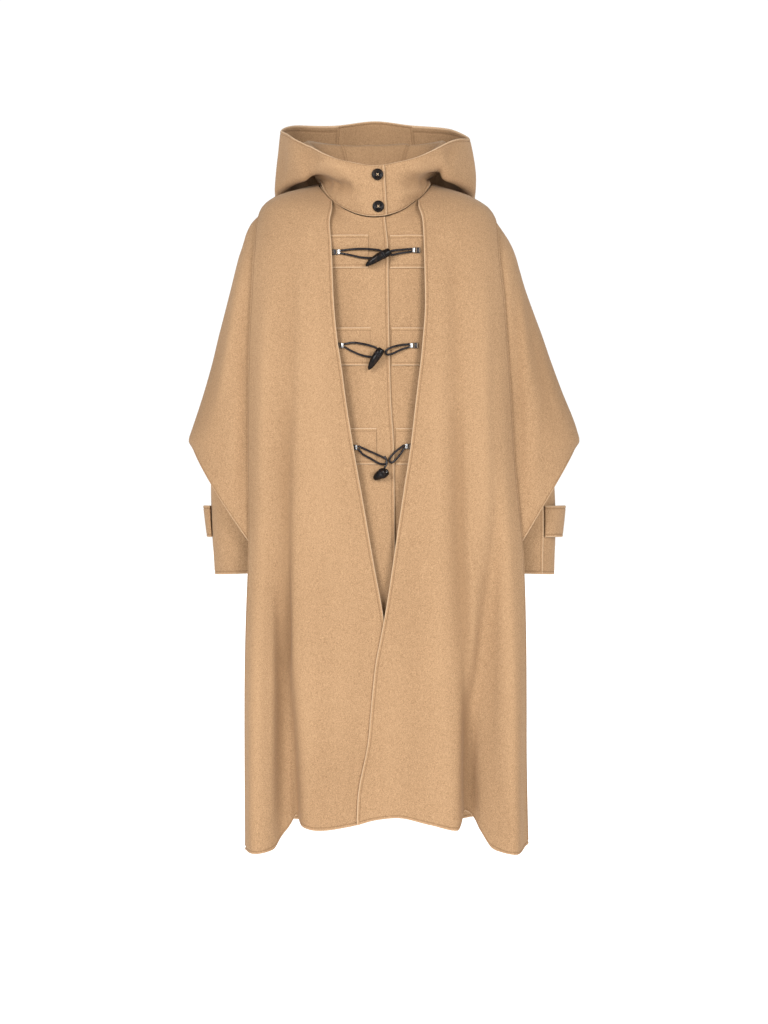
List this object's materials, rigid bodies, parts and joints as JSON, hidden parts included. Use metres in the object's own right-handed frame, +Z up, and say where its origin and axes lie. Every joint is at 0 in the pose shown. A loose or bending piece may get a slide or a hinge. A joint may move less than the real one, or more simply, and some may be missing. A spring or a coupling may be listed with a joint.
{
  "type": "hooded cape duffle coat",
  "caption": "Long wool duffle coat with a hooded cape layer over its sleeved body, closed with horn toggles on leather loops.",
  "frame": {"origin": "midway between the shoulder points, where the wearer carries the coat", "axes": "+Z up along the coat's length, the front faces -Y, the wearer's left is +X"},
  "size_m": [0.6832, 0.3854, 1.2851],
  "materials": {
    "wool": "brushed double-faced camel wool",
    "cord_leather": "smooth dark brown leather",
    "horn": "polished black horn",
    "clasp_metal": "brushed silver metal"
  },
  "bodies": {
    "root": {"cape_back": "wool", "cape_front_left": "wool", "cape_front_right": "wool", "cape_wing_left": "wool", "cape_wing_right": "wool", "coat_back": "wool", "coat_front_left": "wool", "coat_front_right": "wool", "cuff_strap_left": "wool", "cuff_strap_right": "wool", "hood_centre": "wool", "hood_side_left": "wool", "hood_side_right": "wool", "sleeve_left": "wool", "sleeve_right": "wool", "toggle_patch_left_1": "wool", "toggle_patch_left_2": "wool", "toggle_patch_left_3": "wool", "toggle_patch_right_1": "wool", "toggle_patch_right_2": "wool", "toggle_patch_right_3": "wool", "loop_tab_left_1": "cord_leather", "loop_tab_left_2": "cord_leather", "loop_tab_left_3": "cord_leather", "loop_tab_right_1": "cord_leather", "loop_tab_right_2": "cord_leather", "loop_tab_right_3": "cord_leather", "toggle_cord_left_1": "cord_leather", "toggle_cord_left_2": "cord_leather", "toggle_cord_left_3": "cord_leather", "toggle_loop_right_1": "cord_leather", "toggle_loop_right_2": "cord_leather", "toggle_loop_right_3": "cord_leather", "hood_button_lower": "horn", "hood_button_upper": "horn", "toggle_1": "horn", "toggle_2": "horn", "toggle_3": "horn", "tab_clasp_left_1": "clasp_metal", "tab_clasp_left_2": "clasp_metal", "tab_clasp_left_3": "clasp_metal", "tab_clasp_right_1": "clasp_metal", "tab_clasp_right_2": "clasp_metal", "tab_clasp_right_3": "clasp_metal"}
  },
  "joints": []
}
